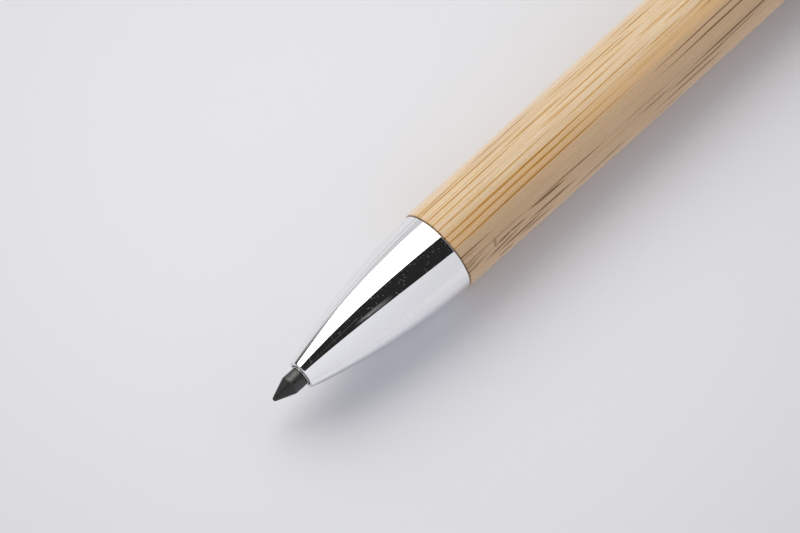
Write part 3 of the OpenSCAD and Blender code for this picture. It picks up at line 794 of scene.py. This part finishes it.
# Writing tip: a cone with a round point, a shoulder and a tail in its holder, which has a flange and a stub
POINT_R = 0.3
POINT_STEPS = 10
TIP_R = 1.2
SHOULDER_ROUND = 0.12
FOOT_GAP = 0.01
FOOT_ROUND = 0.05
TAIL_R = 0.7
TAIL_END = 6.0
SOCKET_R = TAIL_R + 0.03
SOCKET_END = TAIL_END + 0.05
HOLDER_R = 1.3
HOLDER_FRONT = -0.08
HOLDER_ROUND = 0.03
FLANGE_FRONT, FLANGE_REAR = 19.3, 20.5
FLANGE_R = 2.1
FLANGE_ROUND = 0.1
STUB_R = 1.17
STUB_END = 26.5
STUB_ROUND = 0.15


def alloy_tip():
    middle = TIP_END + POINT_R
    reach = math.hypot(TIP_R, SHOULDER - middle)
    slant = math.degrees(math.atan2(TIP_R, SHOULDER - middle) - math.asin(POINT_R / reach))
    foot = HOLDER_FRONT - FOOT_GAP
    point = arc((middle, 0), POINT_R, 180, 90 + slant, POINT_STEPS)
    corners = [*point, (SHOULDER, TIP_R, SHOULDER_ROUND), (foot, TIP_R, FOOT_ROUND), (foot, TAIL_R),
               (TAIL_END, TAIL_R), (TAIL_END, 0)]
    piece("alloy_tip", turned(rounded(corners), closed=False), ALLOY, "refill", "writing_tip")


def tip_sleeve():
    corners = [(HOLDER_FRONT, SOCKET_R), (HOLDER_FRONT, HOLDER_R, HOLDER_ROUND), (FLANGE_FRONT, HOLDER_R),
               (FLANGE_FRONT, FLANGE_R, FLANGE_ROUND), (FLANGE_REAR, FLANGE_R, FLANGE_ROUND), (FLANGE_REAR, STUB_R),
               (STUB_END, STUB_R, STUB_ROUND), (STUB_END, 0), (SOCKET_END, 0), (SOCKET_END, SOCKET_R),
               (HOLDER_FRONT, SOCKET_R)]
    piece("tip_sleeve", turned(rounded(corners), closed=False), NICKEL, "refill", "tip_holder")


# Return spring: one wire, with a closer turn at each end
WIRE_R = 0.2
WIRE_SIDES = 12
SPRING_R = 2.0
MIDDLE_TURNS = 9
END_PITCH = 0.9
TURN_STEPS = 32


def coiled_spring():
    mesh = bmesh.new()
    start = Vector((RIM.x + SPRING_FRONT * MM + WIRE_R * MM, AXIS.y, AXIS.z)) + OUTWARD * SPRING_R * MM
    section = Matrix.Translation(start) @ Matrix((ALONG, OUTWARD, SIDEWAYS)).transposed().to_4x4()
    bmesh.ops.create_circle(mesh, radius=WIRE_R * MM, segments=WIRE_SIDES, matrix=section)
    last = list(mesh.verts) + list(mesh.edges)
    length = SPRING_REAR - SPRING_FRONT - 2 * WIRE_R
    middle_pitch = (length - 2 * END_PITCH) / MIDDLE_TURNS
    for turns, pitch in ((1, END_PITCH), (MIDDLE_TURNS, middle_pitch), (1, END_PITCH)):
        advance = ALONG * (pitch * MM / TURN_STEPS)
        last = bmesh.ops.spin(mesh, geom=last, cent=AXIS, axis=ALONG, dvec=advance, angle=math.tau * turns,
                              steps=TURN_STEPS * turns)["geom_last"]
    bmesh.ops.holes_fill(mesh, edges=[edge for edge in mesh.edges if edge.is_boundary], sides=0)
    made = finished("coiled_spring", mesh, STEEL)
    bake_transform(made)
    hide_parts("return_spring")


# Rear collar, an arc to a rounded end, and push button
COLLAR_R = 5.25
COLLAR_END_R = 4.1
COLLAR_BORE_R = 3.82
COLLAR_HOLE_R = 3.15
COLLAR_STEP = COLLAR_REAR - 1.3
COLLAR_STEPS = 32
COLLAR_EDGE = 0.1
COLLAR_END_ROUND = 0.5
COLLAR_END_STEPS = 4
COLLAR_HOLE_ROUND = 0.12
COLLAR_ROUND_STEPS = 8
BUTTON_R = 3.0
BUTTON_EDGE = 0.2
BUTTON_CROWN = 1.4
BUTTON_ROUND_STEPS = 16
STEM_BORE_R = 1.83
STEM_BORE_END = BUTTON_REAR - 2.95


def polished_collar():
    drop = COLLAR_R - COLLAR_END_R
    length = COLLAR_REAR - COLLAR_FRONT
    radius = (drop ** 2 + length ** 2) / (2 * drop)
    lean = math.degrees(math.asin(length / radius))
    side = arc((COLLAR_FRONT, COLLAR_R - radius), radius, 90, 90 - lean, COLLAR_STEPS)
    corners = [(*side[0], COLLAR_EDGE), *side[1:-COLLAR_END_STEPS], (*side[-1], COLLAR_END_ROUND),
               (COLLAR_REAR, COLLAR_HOLE_R, COLLAR_HOLE_ROUND), (COLLAR_STEP, COLLAR_HOLE_R),
               (COLLAR_STEP, COLLAR_BORE_R), (COLLAR_FRONT, COLLAR_BORE_R)]
    outline = rounded(corners, COLLAR_ROUND_STEPS)
    piece("polished_collar", turned(outline), CHROME, "body", "rear_collar")


def polished_button():
    corners = [(STEM_BORE_END, 0), (STEM_BORE_END, STEM_BORE_R), (BUTTON_FRONT, STEM_BORE_R),
               (BUTTON_FRONT, BUTTON_R, BUTTON_EDGE), (BUTTON_REAR, BUTTON_R, BUTTON_CROWN), (BUTTON_REAR, 0)]
    outline = rounded(corners, BUTTON_ROUND_STEPS)
    piece("polished_button", turned(outline, closed=False), CHROME, "button", "push_button")


# Clip: a washer, and a strap that bends round into the arm and has a bump pressed under its end
CLIP_SHEET = 0.8
CLIP_FRONT = BARREL_REAR + 0.05
CLIP_BACK = CLIP_FRONT + CLIP_SHEET
CLIP_EDGE = 0.16
WASHER_R = 5.25
WASHER_BORE_R = 3.82
STRAP_ROOT = 4.6
STRAP_COLUMNS = 14
STRAP_ROUND_STEPS = 4
CLIP_HALF_W = 2.2
CLIP_END_HALF_W = 1.6
CLIP_LEN = 35.0
CLIP_LEAN = math.radians(0.573)
BEND_R = 0.9
BEND_OUT = 6.3
BEND_STEPS = 14
ARM_STEPS = 20
FINE_STEPS = 10
END_STEPS = 16
END_STEPS_FULL = 11
END_TURN = 88
BUMP_HEIGHT = 1.05
BUMP_REACH = 1.3
DIMPLE_DEPTH = 0.3
DIMPLE_REACH = 0.7 * BUMP_REACH


def arm_stations():
    """Distances along the clip's arm, with its half width and its share of the sheet's thickness there."""
    plain = [CLIP_LEN * step / ARM_STEPS for step in range(1, ARM_STEPS)]
    fine = [plain[-1] + (CLIP_LEN - plain[-1]) * step / FINE_STEPS for step in range(1, FINE_STEPS + 1)]
    narrowing = (CLIP_HALF_W - CLIP_END_HALF_W) / CLIP_LEN
    stations = [(station, CLIP_HALF_W - narrowing * station, 1.0) for station in plain + fine]
    for step in range(1, END_STEPS + 1):
        turn = math.radians(END_TURN * step / END_STEPS)
        thin = 1 - (1 - math.cos(turn)) * 2 * CLIP_EDGE / CLIP_SHEET if step > END_STEPS_FULL else 1.0
        stations.append((CLIP_LEN + CLIP_END_HALF_W * math.sin(turn), CLIP_END_HALF_W * math.cos(turn), thin))
    return stations


def pulled(mesh, face):
    """Extrudes an end face, and gives the new one with its corners."""
    fresh = bmesh.ops.extrude_face_region(mesh, geom=[face])["geom"]
    face = next(item for item in fresh if isinstance(item, bmesh.types.BMFace))
    return face, list(face.verts)


def spring_clip():
    mesh = bmesh.new()

    # Strap, drawn with X out from the pencil, Y sideways and Z towards the button
    columns = [CLIP_HALF_W * (2 * column / STRAP_COLUMNS - 1) for column in range(1, STRAP_COLUMNS)]
    corners = [(CLIP_FRONT, -CLIP_HALF_W, CLIP_EDGE), *((CLIP_FRONT, column) for column in columns),
               (CLIP_FRONT, CLIP_HALF_W, CLIP_EDGE), (CLIP_BACK, CLIP_HALF_W, CLIP_EDGE),
               *((CLIP_BACK, column) for column in reversed(columns)), (CLIP_BACK, -CLIP_HALF_W, CLIP_EDGE)]
    outline = rounded(corners, STRAP_ROUND_STEPS)
    end = mesh.faces.new([mesh.verts.new((STRAP_ROOT, across, place)) for place, across in outline])
    end, moved = pulled(mesh, end)
    bmesh.ops.translate(mesh, verts=moved, vec=(BEND_OUT - STRAP_ROOT, 0, 0))
    pivot = Vector((BEND_OUT, 0, CLIP_FRONT - BEND_R))
    bend = Matrix.Rotation((math.pi / 2 + CLIP_LEAN) / BEND_STEPS, 3, "Y")
    for _ in range(BEND_STEPS):
        end, moved = pulled(mesh, end)
        bmesh.ops.rotate(mesh, verts=moved, cent=pivot, matrix=bend)
    forward = Vector((-math.sin(CLIP_LEAN), 0, -math.cos(CLIP_LEAN)))
    inward = Vector((-math.cos(CLIP_LEAN), 0, math.sin(CLIP_LEAN)))
    travelled, half_width, thickness = 0.0, CLIP_HALF_W, 1.0
    for station, wanted, thin in arm_stations():
        end, moved = pulled(mesh, end)
        bmesh.ops.translate(mesh, verts=moved, vec=forward * (station - travelled))
        middle = pivot - inward * (BEND_R + CLIP_SHEET / 2) + forward * station
        bmesh.ops.scale(mesh, verts=moved, vec=(thin / thickness, wanted / half_width, 1),
                        space=Matrix.Translation(-middle))
        travelled, half_width, thickness = station, wanted, thin

    # Bump, pressed in from outside
    bump_at = pivot - inward * BEND_R + forward * CLIP_LEN
    for corner in mesh.verts:
        offset = corner.co - bump_at
        level = -offset.dot(inward)
        inside = level < CLIP_SHEET / 2
        reach, depth = (BUMP_REACH, BUMP_HEIGHT) if inside else (DIMPLE_REACH, DIMPLE_DEPTH)
        share = (offset + inward * level).length / reach
        if share < 1:
            corner.co += inward * depth * math.cos(math.pi / 2 * share) ** 2
    turned_to = Matrix((OUTWARD, SIDEWAYS, ALONG)).transposed().to_4x4()
    place = Matrix.Translation(RIM) @ turned_to @ Matrix.Scale(MM, 4)
    bmesh.ops.transform(mesh, matrix=place, verts=mesh.verts)

    washer = [(CLIP_FRONT, WASHER_BORE_R), (CLIP_FRONT, WASHER_R, CLIP_EDGE), (CLIP_BACK, WASHER_R, CLIP_EDGE),
              (CLIP_BACK, WASHER_BORE_R)]
    made = finished("spring_clip", turned(rounded(washer), mesh=mesh), CHROME)
    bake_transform(made)
    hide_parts("clip_band", "clip_arm")


polished_nose()
bamboo_barrel()
alloy_tip()
tip_sleeve()
coiled_spring()
polished_collar()
polished_button()
spring_clip()

# Pieces that keep their solids
KEPT = {
    "refill_tube": STEEL,
    "tail_plug": DARK_PLASTIC,
    "front_coupler": BRASS,
    "liner_tube": BRASS,
    "rear_coupler": BRASS,
    "cam_sleeve": WHITE_PLASTIC,
    "rotor": WHITE_PLASTIC,
    "plunger": DARK_PLASTIC,
}
for name, finish in KEPT.items():
    solid = frame["nodes"][name]
    solid.data.materials.clear()
    solid.data.materials.append(finish)

# Table
TABLE_SIZE = 8.0
TABLE_CELLS = 8


def table():
    mesh = bmesh.new()
    bmesh.ops.create_grid(mesh, x_segments=TABLE_CELLS, y_segments=TABLE_CELLS, size=TABLE_SIZE / 2)
    made = finished("table", mesh, table_top())


# Room, which lights the pencil and shows in its metal. A place in it is a share of a direction along the pencil and a
# turn about it, leftwards from the side that faces the camera
ROOM_PALE = (0.805, 0.805, 0.85, 1)
ROOM_GREY = (0.725, 0.725, 0.75, 1)
ROOM_GREY_EDGE = (-0.3, 0.3)
ROOM_LOW = (math.radians(-10), math.radians(-55), 1.0, 0.95)
ROOM_END = (0.98, 0.98, 1.06, 1)
ROOM_END_EDGE = (0.45, 0.6)
BORDER = (0.62, 0.62, 0.63, 1)
BORDER_EDGE = (math.radians(78), math.radians(78) + 0.02)
BORDER_PART = (-0.2, 0.08)

# Dark gap overhead. Its edges slant, and ahead of its end it is wider
GAP = (0.019, 0.019, 0.019, 1)
GAP_FRONT = (-0.8, -0.7)
GAP_REAR = (0.55, 0.45)
GAP_LOW, GAP_HIGH = math.radians(-14.5), math.radians(38)
GAP_LOW_SLANT, GAP_HIGH_SLANT = math.radians(-53), math.radians(-44)
GAP_END = (-0.3, -0.32, GAP_HIGH, GAP_HIGH + math.radians(65))
GAP_EDGE = (-0.01, 0.01)

# Faint light in the gap: a slit along it, and a slanting gleam of streaks
GLEAM = (0.27, 0.26, 0.26, 1)
SLIT_TURN = math.radians(14.6)
SLIT_EDGE = (0.035, 0.005)
SLIT_PART = (-0.10, -0.13, 0.0, 0.2)
GLEAM_PLACE = 0.06
GLEAM_TURN = 0.04
GLEAM_SLANT = 1.2
GLEAM_LEN = (0.08, 0.01)
GLEAM_WIDTH = (0.13, 0.015)
STREAKS_ALONG, STREAKS_ACROSS = 14.0, 75.0
STREAK_SHARE = (0.4, 0.6, 0.3, 1.2)


def studio():
    """A pale room, a little dimmer low on the right, with a dark gap overhead, which polished metal shows as a dark
    band, and a grey border under the softbox."""
    world = bpy.data.worlds.new("studio")
    world.use_nodes = True
    tree = world.node_tree
    way = add(tree, "ShaderNodeTexCoord").outputs["Generated"]
    along = parts(tree, way)["X"]
    turn = calc(tree, "ARCTAN2", share_along(tree, way, FACING_LEFT), share_along(tree, way, FACING_UP))
    reach = calc(tree, "MULTIPLY", ramp(tree, along, *GAP_FRONT), ramp(tree, along, *GAP_REAR))

    room = blend_colour(tree, ramp(tree, along, *ROOM_GREY_EDGE), ROOM_PALE, ROOM_GREY)
    room = shaded(tree, room, ramp(tree, turn, *ROOM_LOW))
    room = blend_colour(tree, ramp(tree, along, *ROOM_END_EDGE), room, ROOM_END)
    border = calc(tree, "MULTIPLY", ramp(tree, turn, *BORDER_EDGE), reach)
    room = blend_colour(tree, border, room, blend_colour(tree, ramp(tree, along, *BORDER_PART), GAP, BORDER))

    slit = calc(tree, "MULTIPLY", ramp(tree, distance(tree, turn, SLIT_TURN), *SLIT_EDGE),
                ramp(tree, along, *SLIT_PART))
    lengthwise = calc(tree, "ADD", along, GLEAM_PLACE)
    crosswise = calc(tree, "MULTIPLY_ADD", lengthwise, GLEAM_SLANT, calc(tree, "ADD", turn, GLEAM_TURN))
    place = {"X": calc(tree, "MULTIPLY", along, STREAKS_ALONG), "Y": calc(tree, "MULTIPLY", crosswise, STREAKS_ACROSS)}
    streaks = noise(tree, add(tree, "ShaderNodeCombineXYZ", place).outputs["Vector"])
    gleam = calc(tree, "MULTIPLY", ramp(tree, calc(tree, "ABSOLUTE", lengthwise), *GLEAM_LEN),
                 ramp(tree, calc(tree, "ABSOLUTE", crosswise), *GLEAM_WIDTH))
    gleam = calc(tree, "MULTIPLY", gleam, ramp(tree, streaks, *STREAK_SHARE))
    inside = blend_colour(tree, calc(tree, "MAXIMUM", slit, gleam), GAP, GLEAM)

    low = calc(tree, "MULTIPLY_ADD", along, GAP_LOW_SLANT, GAP_LOW)
    high = calc(tree, "MULTIPLY_ADD", along, GAP_HIGH_SLANT, ramp(tree, along, *GAP_END))
    between = calc(tree, "MINIMUM", calc(tree, "SUBTRACT", turn, low), calc(tree, "SUBTRACT", high, turn))
    gap = calc(tree, "MULTIPLY", ramp(tree, between, *GAP_EDGE), reach)
    room = blend_colour(tree, gap, room, inside)
    tree.links.new(room, tree.nodes["Background"].inputs["Color"])
    bpy.context.scene.world = world


# Softbox, up on the left
SOFTBOX_TURN = math.radians(61.4)
SOFTBOX_TILT = math.radians(4)
SOFTBOX_ROLL = math.radians(-41.7)
SOFTBOX_SIZE = (1.22, 0.90)
SOFTBOX_SHIFT = 0.11
SOFTBOX_DISTANCE = 1.0
SOFTBOX_GLOW = 2.2
SOFTBOX_COLOUR = (1.0, 0.98, 0.9)


def softbox():
    lamp = bpy.data.lights.new("softbox", "AREA")
    lamp.shape = "RECTANGLE"
    lamp.size, lamp.size_y = SOFTBOX_SIZE
    lamp.energy = SOFTBOX_GLOW * math.pi * SOFTBOX_SIZE[0] * SOFTBOX_SIZE[1]
    lamp.color = SOFTBOX_COLOUR
    made = bpy.data.objects.new("softbox", lamp)
    across = FACING_UP * math.cos(SOFTBOX_TURN) + FACING_LEFT * math.sin(SOFTBOX_TURN)
    way = ALONG * math.sin(SOFTBOX_TILT) + across * math.cos(SOFTBOX_TILT)
    level = (ALONG - way * way.x).normalized()
    turned_to = Matrix((level, way.cross(level), way)).transposed() @ Matrix.Rotation(SOFTBOX_ROLL, 3, "Z")
    middle = VIEW_TARGET + way * SOFTBOX_DISTANCE + turned_to.col[0] * SOFTBOX_SHIFT
    made.matrix_world = Matrix.Translation(middle) @ turned_to.to_4x4()
    bpy.context.scene.collection.objects.link(made)


def camera():
    eye = bpy.data.cameras.new("camera")
    eye.sensor_width = SENSOR_W
    eye.lens = VIEW_FOCUS_PX * SENSOR_W / IMAGE_W
    eye.clip_start = VIEW_CLIP
    made = bpy.data.objects.new("camera", eye)
    level = math.cos(VIEW_ELEVATION)
    back = Vector((math.sin(VIEW_AZIMUTH) * level, -math.cos(VIEW_AZIMUTH) * level, math.sin(VIEW_ELEVATION)))
    right = Vector((math.cos(VIEW_AZIMUTH), math.sin(VIEW_AZIMUTH), 0))
    turned_to = Matrix((right, back.cross(right), back)).transposed() @ Matrix.Rotation(VIEW_ROLL, 3, "Z")
    made.matrix_world = Matrix.Translation(VIEW_TARGET + back * VIEW_DISTANCE) @ turned_to.to_4x4()
    bpy.context.scene.collection.objects.link(made)
    bpy.context.scene.camera = made


table()
studio()
softbox()
camera()
bpy.context.scene.view_settings.view_transform = "Standard"
